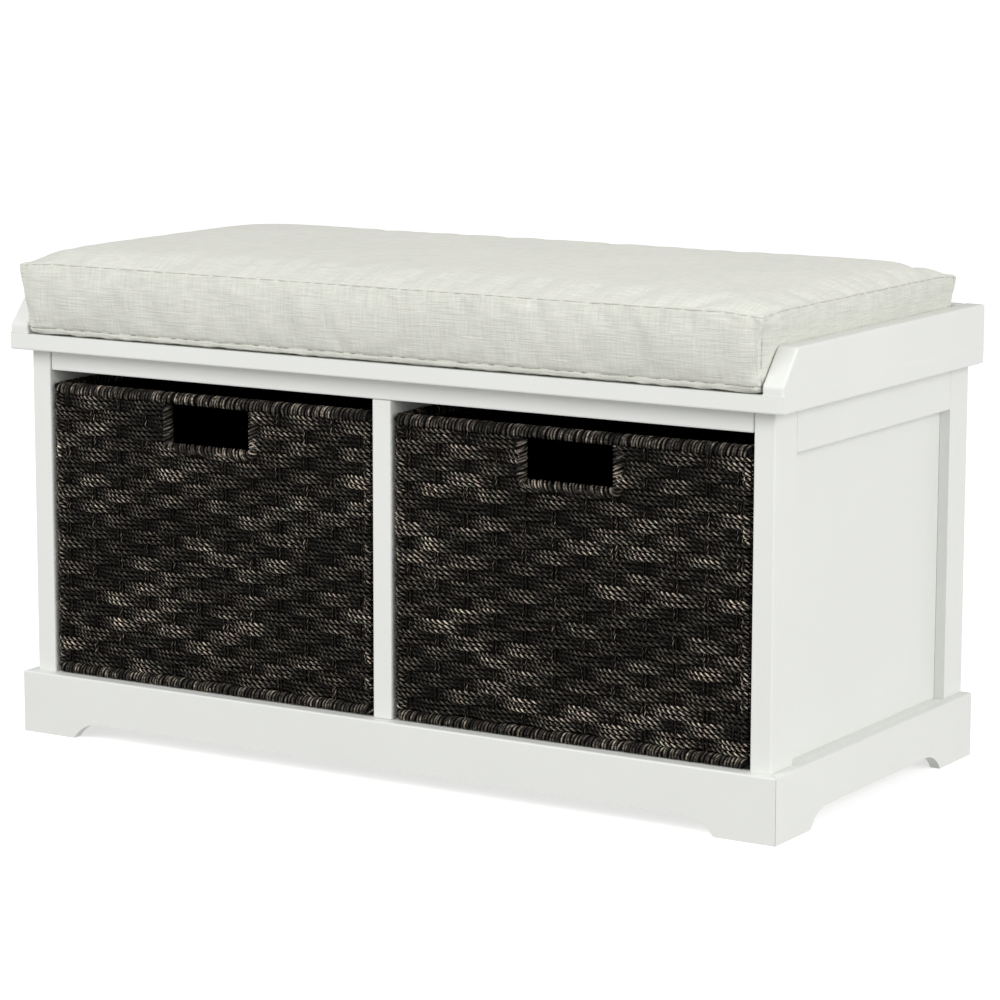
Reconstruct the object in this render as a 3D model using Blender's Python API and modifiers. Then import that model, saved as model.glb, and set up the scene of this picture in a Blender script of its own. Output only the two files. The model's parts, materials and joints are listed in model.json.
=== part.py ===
"""Entryway storage bench with a box cushion and two woven pull-out baskets.

Metres, +Z up, -Y is the open front, +X runs to the right as seen from the front.
The origin is on the floor, under the middle of the seat board.
Run with: blender --background --python part.py
"""

from math import asin, cos, pi, radians, sin

import bpy
import bmesh
from mathutils import Vector

# ---------------------------------------------------------------- driving sizes
CLEARANCE = 0.0003  # gap left at every glued, screwed or nested joint
EDGE_RADIUS = 0.0015  # eased edges of the painted boards
ARM_EDGE_RADIUS = 0.0025

SEAT_W = 0.800
SEAT_D = 0.388
SEAT_T = 0.015
SEAT_UNDERSIDE = 0.361  # height of the seat board's lower face
SEAT_OVERHANG = 0.014  # past the carcass, at the sides and the front

ARM_T = 0.020
ARM_RISE = 0.038  # the arms and the back board stand this far above the seat
ARM_NOSE = 0.008  # upright part of an arm's front end, below its slope
ARM_SLOPE_RUN = 0.025
GALLERY_T = 0.018  # the board between the arms, along the back of the seat

FRAME_T = 0.020  # thickness of the side frames, and so of the posts
STILE_W = 0.038  # width of a post, front to back
SIDE_RAIL_H = 0.039
PANEL_T = 0.006
PANEL_RECESS = 0.010  # from the frame's outer face to the panel's
GROOVE_DEPTH = 0.005
CROSS_RAIL_H = 0.019
CROSS_RAIL_D = 0.045
FRONT_RAIL_SETBACK = 0.001
RAIL_END_GAP = 0.0008  # open joint line between a cross rail and the posts
DIVIDER_T = 0.019
SHELF_T = 0.015
BACK_T = 0.005
BACK_LAP = 0.008  # how far the back panel laps onto each rear post

PLINTH_H = 0.058
PLINTH_T = 0.010
FOOT_FRONT = 0.058  # length of the feet along the front plinth
FOOT_SIDE = 0.064
SCALLOP_RISE = 0.016
SCALLOP_RUN = 0.030

CUSHION_H = 0.068
CUSHION_SIDE_GAP = 0.002
CUSHION_REAR_GAP = 0.006
CUSHION_SETBACK = 0.002  # behind the seat board's front edge
CUSHION_RADIUS = 0.010
COVER_T = 0.0015
ZIP_W = 0.009
ZIP_MARGIN = 0.030  # from each end of the cushion to the zip's slot
ZIP_TAPE_T = 0.0010
ZIP_CHAIN_W = 0.005
ZIP_CHAIN_T = 0.0020
SLIDER_L = 0.012
SLIDER_W = 0.008
SLIDER_T = 0.0018
PULL_TAB_L = 0.022
PULL_TAB_W = 0.005
PULL_TAB_T = 0.0010

BASKET_GAP = 0.0012  # to the posts and the divider, on each side
BASKET_SETBACK = 0.0006  # behind the posts' front faces
BASKET_TOP_GAP = 0.0107  # to the front rail above
BASKET_REAR_GAP = 0.022  # to the back panel
WIRE_R = 0.002
RIM_W = 0.010
RIM_INNER_R = 0.001  # inside corners of the rim and the foot ring, seen from above
RIM_H = 0.011
FOOT_RING_H = 0.010
BASE_T = 0.005
GRIP_W = 0.086  # clear opening of the hand hole
GRIP_H = 0.036
GRIP_R = 0.0045  # the wrapped edge around the hand hole

SCREW_L = 0.032
SCREW_SHANK_R = 0.002
SCREW_HEAD_R = 0.004
SCREW_HEAD_H = 0.0025
SCREW_TIP = 0.004
RAIL_SCREW_L = 0.028
DIVIDER_SCREW_L = 0.038
ARM_SCREW_INSET = 0.055  # from each end of an arm or the back board to its outer screws
RAIL_SCREW_INSET = 0.090
DIVIDER_SCREW_INSET = 0.070
DOWEL_R = 0.003
DOWEL_L = 0.028
DOWEL_INSET = 0.045  # from the posts
ROUND_STEPS = 12  # facets of screws, dowels and their holes
OVERCUT = 0.004  # how far a cutter runs past the face that it opens

# ---------------------------------------------------------------- worked out
SEAT_TOP = SEAT_UNDERSIDE + SEAT_T
ARM_TOP = SEAT_TOP + ARM_RISE
FRONT = -SEAT_D / 2
REAR = SEAT_D / 2
CARCASS_X = SEAT_W / 2 - SEAT_OVERHANG  # outer faces of the side frames
CARCASS_FRONT = FRONT + SEAT_OVERHANG
INNER_X = CARCASS_X - FRAME_T
CARCASS_TOP = SEAT_UNDERSIDE - CLEARANCE
CROSS_RAIL_Z = SEAT_UNDERSIDE - CROSS_RAIL_H
SHELF_TOP = PLINTH_H
SHELF_UNDERSIDE = SHELF_TOP - SHELF_T
BACK_FRONT = REAR - BACK_T
PANEL_OUTER_X = CARCASS_X - PANEL_RECESS
PANEL_BOTTOM = PLINTH_H - GROOVE_DEPTH
BAY_W = INNER_X - DIVIDER_T / 2
BAY_CENTRE_X = DIVIDER_T / 2 + BAY_W / 2
BASKET_W = BAY_W - 2 * BASKET_GAP
BASKET_FRONT = CARCASS_FRONT + BASKET_SETBACK
BASKET_D = BACK_FRONT - BASKET_REAR_GAP - BASKET_FRONT
BASKET_BOTTOM = SHELF_TOP + CLEARANCE
BASKET_TOP = CROSS_RAIL_Z - BASKET_TOP_GAP
BASKET_H = BASKET_TOP - BASKET_BOTTOM
BASKET_CORNER_R = RIM_W + RIM_INNER_R
UPRIGHT_R = WIRE_R * 0.8
UPRIGHT_INSET = RIM_W / 2 + WIRE_R * 0.15  # from a basket's outside to the middle of its uprights
WEAVE_T = UPRIGHT_INSET - UPRIGHT_R - CLEARANCE  # the woven wall fits outside the uprights
CUSHION_BOTTOM = SEAT_TOP + CLEARANCE

PAINT = ((0.86, 0.87, 0.86), 0.35, 0.0)
FABRIC = ((0.70, 0.71, 0.65), 0.95, 0.0)
FOAM = ((0.85, 0.80, 0.60), 0.95, 0.0)
ROPE = ((0.035, 0.030, 0.026), 0.80, 0.0)
WIRE = ((0.05, 0.05, 0.05), 0.45, 1.0)
STEEL = ((0.60, 0.60, 0.62), 0.35, 1.0)
BEECH = ((0.75, 0.58, 0.38), 0.60, 0.0)
ZIP_METAL = ((0.55, 0.55, 0.52), 0.40, 1.0)


# ---------------------------------------------------------------- scene and materials
def start_scene():
    for obj in list(bpy.data.objects):
        bpy.data.objects.remove(obj)
    made = []
    for name in ("storage_bench", "cutters"):
        made.append(bpy.data.collections.new(name))
        bpy.context.scene.collection.children.link(made[-1])
    return made


PARTS, CUTTERS = start_scene()


def material(look, name):
    colour, roughness, metallic = look
    made = bpy.data.materials.new(name)
    made.use_nodes = True
    shader = made.node_tree.nodes["Principled BSDF"]
    shader.inputs["Base Color"].default_value = (*colour, 1)
    shader.inputs["Roughness"].default_value = roughness
    shader.inputs["Metallic"].default_value = metallic
    return made


def file_away(obj, name, collection, look=None):
    """Names an object, moves it to its collection and gives it a material of its own."""
    obj.name = name
    obj.data.name = name
    for owner in list(obj.users_collection):
        owner.objects.unlink(obj)
    collection.objects.link(obj)
    if look:
        obj.data.materials.clear()
        obj.data.materials.append(material(look, name))
    if collection is CUTTERS:
        obj.hide_render = True
        obj.display_type = "WIRE"
    return obj


def apply_scale(obj):
    bpy.context.view_layer.objects.active = obj
    obj.select_set(True)
    bpy.ops.object.transform_apply(location=False, rotation=False, scale=True)
    obj.select_set(False)


# ---------------------------------------------------------------- shapes
def box(name, low, high, look=None, collection=None):
    """A block between two corners, from a cube primitive."""
    low, high = Vector(low), Vector(high)
    bpy.ops.mesh.primitive_cube_add(size=1, location=(low + high) / 2)
    obj = bpy.context.active_object
    obj.scale = high - low
    apply_scale(obj)
    return file_away(obj, name, collection or PARTS, look)


def mirrored(low, high, side):
    """The same block on the left (side -1) or the right (side 1)."""
    xs = sorted((side * low[0], side * high[0]))
    return (xs[0], *low[1:]), (xs[1], *high[1:])


def as_mesh(curve_obj):
    """The mesh of a curve object, with its caps welded on, in the curve's place."""
    bpy.context.view_layer.update()
    graph = bpy.context.evaluated_depsgraph_get()
    data = bpy.data.meshes.new_from_object(curve_obj.evaluated_get(graph))
    work = bmesh.new()
    work.from_mesh(data)
    bmesh.ops.remove_doubles(work, verts=work.verts, dist=1e-6)
    work.to_mesh(data)
    work.free()
    obj = bpy.data.objects.new(curve_obj.name, data)
    obj.matrix_world = curve_obj.matrix_world
    bpy.context.scene.collection.objects.link(obj)
    bpy.data.objects.remove(curve_obj)
    return obj


def curve_object(points, cyclic, dimensions="3D"):
    data = bpy.data.curves.new("curve", "CURVE")
    data.dimensions = dimensions
    spline = data.splines.new("POLY")
    spline.points.add(len(points) - 1)
    for point, at in zip(spline.points, points):
        point.co = (*at, 1)
    spline.use_cyclic_u = cyclic
    obj = bpy.data.objects.new("curve", data)
    bpy.context.scene.collection.objects.link(obj)
    return obj


def slab(name, outline, thickness, centre, rotation, look=None, collection=None):
    """A flat outline, extruded both ways about its own plane, as a mesh."""
    obj = curve_object([(u, v, 0) for u, v in outline], True, "2D")
    obj.data.fill_mode = "BOTH"
    obj.data.extrude = thickness / 2
    obj.location = centre
    obj.rotation_euler = rotation
    obj = as_mesh(obj)
    work = bmesh.new()
    work.from_mesh(obj.data)
    bmesh.ops.dissolve_limit(work, angle_limit=radians(0.5), verts=work.verts, edges=work.edges)
    work.to_mesh(obj.data)
    work.free()
    return file_away(obj, name, collection or PARTS, look)


def tube(name, points, radius, cyclic, look=None, collection=None, sides=8):
    """A round wire or roll along a line of points, as a mesh."""
    obj = curve_object(points, cyclic)
    obj.data.bevel_depth = radius
    obj.data.bevel_resolution = sides // 2 - 2
    obj.data.use_fill_caps = not cyclic
    return file_away(as_mesh(obj), name, collection or PARTS, look)


def rounded_rectangle(width, depth, radius, steps=4):
    """Corner points of a rounded rectangle about the origin, anticlockwise."""
    points = []
    for corner in range(4):
        cx = (width / 2 - radius) * (1 if corner in (0, 3) else -1)
        cy = (depth / 2 - radius) * (1 if corner in (0, 1) else -1)
        for step in range(steps + 1):
            angle = (corner + step / steps) * pi / 2
            points.append((cx + radius * cos(angle), cy + radius * sin(angle)))
    return points


def turned(name, profile, at, look=None, collection=None):
    """A turned piece about a vertical axis: its profile is (radius, height) from top to bottom."""
    data = bpy.data.meshes.new(name)
    edges = [(i, i + 1) for i in range(len(profile) - 1)]
    data.from_pydata([(r, 0, z) for r, z in profile], edges, [])
    obj = bpy.data.objects.new(name, data)
    bpy.context.scene.collection.objects.link(obj)
    screw = obj.modifiers.new("turn", "SCREW")
    screw.axis = "Z"
    screw.steps = screw.render_steps = ROUND_STEPS
    screw.use_merge_vertices = True
    screw.merge_threshold = 0.00005
    obj.location = at
    return file_away(obj, name, collection or PARTS, look)


def ease_edges(obj, wanted, radius=EDGE_RADIUS, segments=2):
    """Rounds the edges whose two ends, in world space, the test `wanted` picks."""
    bpy.context.view_layer.update()
    world = obj.matrix_world
    weights = obj.data.attributes.new("bevel_weight_edge", "FLOAT", "EDGE")
    for edge in obj.data.edges:
        a, b = (world @ obj.data.vertices[i].co for i in edge.vertices)
        weights.data[edge.index].value = 1.0 if wanted(a, b) else 0.0
    bevel = obj.modifiers.new("eased_edges", "BEVEL")
    bevel.limit_method = "WEIGHT"
    bevel.width = radius
    bevel.segments = segments
    return obj


def on(axis, value):
    """A test for edges that lie in one plane, such as a board's top face."""
    index = "xyz".index(axis)
    return lambda a, b: abs(a[index] - value) < 1e-5 and abs(b[index] - value) < 1e-5


def any_of(*tests):
    return lambda a, b: any(test(a, b) for test in tests)


def both(*tests):
    return lambda a, b: all(test(a, b) for test in tests)


def none_of(*tests):
    return lambda a, b: not any(test(a, b) for test in tests)


def boolean(obj, other, operation="DIFFERENCE"):
    modifier = obj.modifiers.new(other.name, "BOOLEAN")
    modifier.operation = operation
    modifier.object = other
    return obj


def cut(other, *boards):
    for board in boards:
        boolean(board, other)


# ---------------------------------------------------------------- fasteners
def screw_profile(length):
    """A countersunk wood screw, point up, its head's flat face at height 0."""
    return [
        (0, length),
        (SCREW_SHANK_R, length - SCREW_TIP),
        (SCREW_SHANK_R, SCREW_HEAD_H),
        (SCREW_HEAD_R, 0),
        (0, 0),
    ]


def screw_hole_profile(length):
    """The same screw with a clearance all round, run on past the face it is driven from."""
    return [
        (0, length + CLEARANCE),
        (SCREW_SHANK_R + CLEARANCE, length - SCREW_TIP + CLEARANCE),
        (SCREW_SHANK_R + CLEARANCE, SCREW_HEAD_H),
        (SCREW_HEAD_R + CLEARANCE, 0),
        (SCREW_HEAD_R + CLEARANCE, -OVERCUT),
        (0, -OVERCUT),
    ]


def screw_up(name, x, y, z, length, *boards):
    """A screw driven upwards from a face at height z, with its hole in every board it passes."""
    head_z = z + CLEARANCE
    turned(name, screw_profile(length), (x, y, head_z), STEEL)
    hole = turned(name + "_hole", screw_hole_profile(length), (x, y, head_z), None, CUTTERS)
    cut(hole, *boards)


def cylinder_along_x(name, low_x, high_x, y, z, radius, look=None, collection=None):
    bpy.ops.mesh.primitive_cylinder_add(
        vertices=ROUND_STEPS,
        radius=radius,
        depth=high_x - low_x,
        location=((low_x + high_x) / 2, y, z),
        rotation=(0, pi / 2, 0),
    )
    return file_away(bpy.context.active_object, name, collection or PARTS, look)


# ---------------------------------------------------------------- carcass
def side_frame(side, word):
    """Two posts, two rails and the panel held in their grooves. Returns the pieces others are fixed to."""
    front_post_rear = CARCASS_FRONT + STILE_W
    rear_post_front = REAR - STILE_W
    span = (front_post_rear + CLEARANCE, rear_post_front - CLEARANCE)
    outer = on("x", side * CARCASS_X)

    def member(name, y0, y1, z0, z1, wanted):
        low, high = mirrored((INNER_X, y0, z0), (CARCASS_X, y1, z1), side)
        return ease_edges(box(name, low, high, PAINT), wanted)

    front_post = member(
        f"post_front_{word}", CARCASS_FRONT, front_post_rear, 0, CARCASS_TOP,
        both(on("y", CARCASS_FRONT), none_of(on("z", 0), on("z", CARCASS_TOP))),
    )
    rear_post = member(
        f"post_rear_{word}", rear_post_front, REAR, 0, CARCASS_TOP,
        both(on("y", REAR), outer, none_of(on("z", 0), on("z", CARCASS_TOP))),
    )
    top_rail_z = SEAT_UNDERSIDE - SIDE_RAIL_H
    top_rail = member(
        f"side_rail_top_{word}", *span, top_rail_z, CARCASS_TOP,
        both(on("z", top_rail_z), outer),
    )
    low_rail = member(
        f"side_rail_low_{word}", *span, SCALLOP_RISE + CLEARANCE, PLINTH_H,
        both(on("z", PLINTH_H), outer),
    )

    low = (PANEL_OUTER_X - PANEL_T, front_post_rear - GROOVE_DEPTH, PANEL_BOTTOM)
    high = (PANEL_OUTER_X, rear_post_front + GROOVE_DEPTH, top_rail_z + GROOVE_DEPTH)
    box(f"side_panel_{word}", *mirrored(low, high, side), PAINT)
    room = Vector((CLEARANCE,) * 3)
    low, high = mirrored(Vector(low) - room, Vector(high) + room, side)
    groove = box(f"panel_groove_{word}", low, high, None, CUTTERS)
    cut(groove, front_post, rear_post, top_rail, low_rail)
    return rear_post, low_rail


def cross_rail(name, front_y):
    end_x = INNER_X - RAIL_END_GAP
    rail = box(
        name, (-end_x, front_y, CROSS_RAIL_Z), (end_x, front_y + CROSS_RAIL_D, CARCASS_TOP), PAINT
    )
    bottom = on("z", CROSS_RAIL_Z)
    ends = any_of(on("x", -end_x), on("x", end_x))
    return ease_edges(rail, any_of(both(on("y", front_y), any_of(bottom, ends)), both(bottom, ends)))


def carcass():
    """The open-fronted cabinet under the seat: two bays side by side."""
    frames = [side_frame(side, word) for side, word in ((-1, "left"), (1, "right"))]
    rail_front_y = CARCASS_FRONT + FRONT_RAIL_SETBACK
    rail_back_y = BACK_FRONT - CLEARANCE - CROSS_RAIL_D
    front_rail = cross_rail("front_rail", rail_front_y)
    back_rail = cross_rail("back_rail", rail_back_y)

    shelf = box(
        "bottom_shelf",
        (-INNER_X + CLEARANCE, CARCASS_FRONT, SHELF_UNDERSIDE),
        (INNER_X - CLEARANCE, BACK_FRONT - CLEARANCE, SHELF_TOP),
        PAINT,
    )

    divider = box(
        "divider",
        (-DIVIDER_T / 2, CARCASS_FRONT, SHELF_TOP + CLEARANCE),
        (DIVIDER_T / 2, BACK_FRONT - CLEARANCE, CARCASS_TOP),
        PAINT,
    )
    ease_edges(divider, both(on("y", CARCASS_FRONT), none_of(on("z", SHELF_TOP + CLEARANCE))))
    for name, y0, y1 in (
        ("front", CARCASS_FRONT - OVERCUT, rail_front_y + CROSS_RAIL_D + CLEARANCE),
        ("back", rail_back_y - CLEARANCE, BACK_FRONT + OVERCUT),
    ):
        notch = box(
            f"divider_notch_{name}",
            (-DIVIDER_T, y0, CROSS_RAIL_Z - CLEARANCE),
            (DIVIDER_T, y1, SEAT_UNDERSIDE + OVERCUT),
            None, CUTTERS,
        )
        cut(notch, divider)

    back_low = (-INNER_X - BACK_LAP, BACK_FRONT, SHELF_UNDERSIDE)
    back_high = (INNER_X + BACK_LAP, REAR, CARCASS_TOP)
    box("back_panel", back_low, back_high, PAINT)
    rebate = box(
        "back_rebate",
        (back_low[0] - CLEARANCE, BACK_FRONT - CLEARANCE, SHELF_UNDERSIDE - CLEARANCE),
        (back_high[0] + CLEARANCE, REAR + OVERCUT, SEAT_UNDERSIDE + OVERCUT),
        None, CUTTERS,
    )
    cut(rebate, *(rear_post for rear_post, _ in frames))

    box(
        "plinth_back",
        (-INNER_X + CLEARANCE, REAR - PLINTH_T, SCALLOP_RISE),
        (INNER_X - CLEARANCE, REAR, SHELF_UNDERSIDE - CLEARANCE),
        PAINT,
    )
    fix_shelf(shelf, divider, [low_rail for _, low_rail in frames])
    return front_rail, back_rail


def fix_shelf(shelf, divider, low_rails):
    """Dowels from the shelf's ends into the low side rails, and screws up into the divider."""
    dowel_z = (SHELF_UNDERSIDE + PANEL_BOTTOM) / 2
    ends = (CARCASS_FRONT + STILE_W + DOWEL_INSET, REAR - STILE_W - DOWEL_INSET)
    for side, word, rail in zip((-1, 1), ("left", "right"), low_rails):
        for y, place in zip(ends, ("front", "rear")):
            mid_x = side * INNER_X
            name = f"shelf_dowel_{word}_{place}"
            low_x, high_x = mid_x - DOWEL_L / 2, mid_x + DOWEL_L / 2
            cylinder_along_x(name, low_x, high_x, y, dowel_z, DOWEL_R, BEECH)
            hole = cylinder_along_x(
                name + "_hole", low_x - CLEARANCE, high_x + CLEARANCE, y, dowel_z,
                DOWEL_R + CLEARANCE, None, CUTTERS,
            )
            cut(hole, shelf, rail)
    for y, place in ((CARCASS_FRONT + DIVIDER_SCREW_INSET, "front"), (REAR - DIVIDER_SCREW_INSET, "rear")):
        screw_up(f"divider_screw_{place}", 0, y, SHELF_UNDERSIDE, DIVIDER_SCREW_L, shelf, divider)


# ---------------------------------------------------------------- plinth
def scallop_outline(length, foot):
    """The cut-away between two feet: straight along the top, with an arc down to each foot."""
    arc_r = (SCALLOP_RUN**2 + SCALLOP_RISE**2) / (2 * SCALLOP_RISE)
    sweep = asin(SCALLOP_RUN / arc_r)
    top_x = length / 2 - foot - SCALLOP_RUN
    steps = 6
    right = []
    for step in range(steps + 1):
        angle = sweep * step / steps
        drop = arc_r * (1 - cos(angle))
        right.append((top_x + arc_r * sin(angle), SCALLOP_RISE - drop))
    right.append((right[-1][0], -OVERCUT))
    left = [(-x, z) for x, z in reversed(right)]
    return right + left


def plinth():
    """The skirt around the feet: three boards, mitred at the two front corners."""
    outer_x = CARCASS_X + PLINTH_T
    outer_front = CARCASS_FRONT - PLINTH_T
    side_length = REAR - outer_front
    front = box(
        "plinth_front",
        (-outer_x, outer_front, 0),
        (outer_x, CARCASS_FRONT - CLEARANCE, PLINTH_H),
        PAINT,
    )
    ease_edges(front, both(on("y", outer_front), on("z", PLINTH_H)))
    scallop = slab(
        "scallop_front", scallop_outline(2 * outer_x, FOOT_FRONT), 4 * PLINTH_T,
        (0, outer_front, 0), (pi / 2, 0, 0), None, CUTTERS,
    )
    cut(scallop, front)
    for side, word in ((-1, "left"), (1, "right")):
        low, high = mirrored(
            (CARCASS_X + CLEARANCE, outer_front, 0), (outer_x, REAR, PLINTH_H), side
        )
        board = box(f"plinth_{word}", low, high, PAINT)
        ease_edges(board, both(on("x", side * outer_x), on("z", PLINTH_H)))
        scallop = slab(
            f"scallop_{word}", scallop_outline(side_length, FOOT_SIDE), 4 * PLINTH_T,
            (side * outer_x, outer_front + side_length / 2, 0), (pi / 2, 0, pi / 2), None, CUTTERS,
        )
        cut(scallop, board)
        cut(mitre(side, outer_x, outer_front, f"mitre_front_{word}", 1), front)
        cut(mitre(side, outer_x, outer_front, f"mitre_side_{word}", -1), board)


def mitre(side, outer_x, outer_front, name, keeps_front):
    """A block turned 45 degrees whose face runs through the corner, half a gap to one side."""
    size = 6 * PLINTH_T
    across = Vector((side, 1, 0)).normalized() * keeps_front  # from the joint into the cut piece
    along = Vector((-side, 1, 0)).normalized()
    corner = Vector((side * outer_x, outer_front, PLINTH_H / 2))
    bpy.ops.mesh.primitive_cube_add(size=1)
    obj = bpy.context.active_object
    obj.scale = (size, size, PLINTH_H + 2 * OVERCUT)
    apply_scale(obj)
    obj.rotation_euler = (0, 0, pi / 4)
    obj.location = corner + across * (size / 2 - CLEARANCE / 2) + along * (size / 4)
    return file_away(obj, name, CUTTERS)


# ---------------------------------------------------------------- seat
def arm(side, word):
    """A side board on the seat, with a sloped front end."""
    bottom = SEAT_TOP + CLEARANCE
    outline = [
        (FRONT, bottom),
        (REAR, bottom),
        (REAR, ARM_TOP),
        (FRONT + ARM_SLOPE_RUN, ARM_TOP),
        (FRONT, SEAT_TOP + ARM_NOSE),
    ]
    centre_x = side * (SEAT_W / 2 - ARM_T / 2)
    board = slab(f"arm_{word}", outline, ARM_T, (centre_x, 0, 0), (pi / 2, 0, pi / 2), PAINT)
    exposed = none_of(on("z", bottom), on("y", REAR))
    return ease_edges(board, exposed, ARM_EDGE_RADIUS, 3)


def seat(front_rail, back_rail):
    board = box(
        "seat_board", (-SEAT_W / 2, FRONT, SEAT_UNDERSIDE), (SEAT_W / 2, REAR, SEAT_TOP), PAINT
    )
    sides = any_of(on("x", -SEAT_W / 2), on("x", SEAT_W / 2))
    ease_edges(board, both(on("z", SEAT_UNDERSIDE), any_of(on("y", FRONT), sides)))
    arms = {word: arm(side, word) for side, word in ((-1, "left"), (1, "right"))}
    gallery_x = SEAT_W / 2 - ARM_T - CLEARANCE
    gallery = box(
        "gallery_back",
        (-gallery_x, REAR - GALLERY_T, SEAT_TOP + CLEARANCE),
        (gallery_x, REAR, ARM_TOP),
        PAINT,
    )
    ease_edges(gallery, both(on("z", ARM_TOP), any_of(on("y", REAR), on("y", REAR - GALLERY_T))))

    along_arm = (FRONT + ARM_SCREW_INSET, 0, REAR - ARM_SCREW_INSET)
    for side, word in ((-1, "left"), (1, "right")):
        x = side * (SEAT_W / 2 - (SEAT_OVERHANG - CLEARANCE) / 2)
        for number, y in enumerate(along_arm, 1):
            name = f"arm_screw_{word}_{number}"
            screw_up(name, x, y, SEAT_UNDERSIDE, SCREW_L, board, arms[word])
    gallery_ends = gallery_x - RAIL_SCREW_INSET
    gallery_y = REAR - GALLERY_T / 2
    for number, x in enumerate((-gallery_ends, gallery_ends), 1):
        screw_up(f"gallery_screw_{number}", x, gallery_y, SEAT_UNDERSIDE, SCREW_L, board, gallery)
    rail_x = INNER_X - RAIL_SCREW_INSET
    for place, rail, y in (
        ("front", front_rail, CARCASS_FRONT + FRONT_RAIL_SETBACK + CROSS_RAIL_D / 2),
        ("back", back_rail, BACK_FRONT - CLEARANCE - CROSS_RAIL_D / 2),
    ):
        for x, word in ((-rail_x, "left"), (rail_x, "right")):
            screw_up(f"seat_screw_{place}_{word}", x, y, CROSS_RAIL_Z, RAIL_SCREW_L, rail, board)


# ---------------------------------------------------------------- cushion
def rounded_block(name, low, high, radius, look=None, collection=None):
    block = box(name, low, high, look, collection)
    bevel = block.modifiers.new("round", "BEVEL")
    bevel.width = radius
    bevel.segments = 3
    bevel.limit_method = "NONE"
    return block


def cushion():
    """A foam slab in a cover that is closed along the back by a zip."""
    half_w = SEAT_W / 2 - ARM_T - CUSHION_SIDE_GAP
    low = Vector((-half_w, FRONT + CUSHION_SETBACK, CUSHION_BOTTOM))
    high = Vector((half_w, REAR - GALLERY_T - CUSHION_REAR_GAP, CUSHION_BOTTOM + CUSHION_H))
    skin = Vector((COVER_T,) * 3)
    room = Vector((COVER_T + CLEARANCE,) * 3)
    cover = rounded_block("cushion_cover", low, high, CUSHION_RADIUS, FABRIC)
    inner_r = CUSHION_RADIUS - COVER_T
    hollow = rounded_block("cover_hollow", low + skin, high - skin, inner_r, None, CUTTERS)
    cut(hollow, cover)

    zip_x = half_w - ZIP_MARGIN
    mid_z = CUSHION_BOTTOM + CUSHION_H / 2
    slot = box(
        "zip_slot",
        (-zip_x, high.y - COVER_T - CLEARANCE / 2, mid_z - ZIP_W / 2),
        (zip_x, high.y + OVERCUT, mid_z + ZIP_W / 2),
        None, CUTTERS,
    )
    cut(slot, cover)
    rounded_block("cushion_foam", low + room, high - room, inner_r - CLEARANCE, FOAM)

    tape_x = zip_x - CLEARANCE
    tape_z = ZIP_W / 2 - CLEARANCE
    tape = box(
        "cushion_zip",
        (-tape_x, high.y - ZIP_TAPE_T, mid_z - tape_z),
        (tape_x, high.y, mid_z + tape_z),
        ZIP_METAL,
    )
    chain = box(
        "zip_chain",
        (-tape_x + SLIDER_L / 2, high.y - ZIP_TAPE_T / 2, mid_z - ZIP_CHAIN_W / 2),
        (tape_x - SLIDER_L / 2, high.y - ZIP_TAPE_T + ZIP_CHAIN_T, mid_z + ZIP_CHAIN_W / 2),
        None, CUTTERS,
    )
    boolean(tape, chain, "UNION")

    slider_y = high.y - ZIP_TAPE_T + ZIP_CHAIN_T + CLEARANCE
    slider_x = tape_x - SLIDER_L
    slider = box(
        "zip_slider",
        (slider_x - SLIDER_L / 2, slider_y, mid_z - SLIDER_W / 2),
        (slider_x + SLIDER_L / 2, slider_y + SLIDER_T, mid_z + SLIDER_W / 2),
        ZIP_METAL,
    )
    tab = box(
        "pull_tab",
        (slider_x - PULL_TAB_W / 2, slider_y + SLIDER_T - PULL_TAB_T, mid_z - PULL_TAB_L),
        (slider_x + PULL_TAB_W / 2, slider_y + SLIDER_T, mid_z),
        None, CUTTERS,
    )
    boolean(slider, tab, "UNION")


# ---------------------------------------------------------------- baskets
def ring_channel(name, centre, width, depth, corner_r, section, look):
    """A channel section swept round a basket's edge, so that it wraps the wire ring."""
    path = rounded_rectangle(width, depth, corner_r)
    obj = curve_object([(x, y, 0) for x, y in path], True)
    profile = curve_object([(u, v, 0) for u, v in section], True, "2D")
    obj.data.bevel_mode = "OBJECT"
    obj.data.bevel_object = profile
    obj.location = centre
    obj = as_mesh(obj)
    bpy.data.objects.remove(profile)
    work = bmesh.new()
    work.from_mesh(obj.data)
    bmesh.ops.recalc_face_normals(work, faces=work.faces)
    work.to_mesh(obj.data)
    work.free()
    return file_away(obj, name, PARTS, look)


def wrap_section(height, opens_down):
    """A rounded roll with a slot for the wire, opening downwards or upwards."""
    half_w = RIM_W / 2
    slot = WIRE_R + CLEARANCE
    slot_top = height / 2 + slot
    chamfer = RIM_W / 4
    shape = [
        (-half_w, 0),
        (-slot, 0),
        (-slot, slot_top),
        (slot, slot_top),
        (slot, 0),
        (half_w, 0),
        (half_w, height - chamfer),
        (half_w - chamfer, height),
        (-half_w + chamfer, height),
        (-half_w, height - chamfer),
    ]
    return shape if opens_down else [(u, height - v) for u, v in reversed(shape)]


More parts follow.
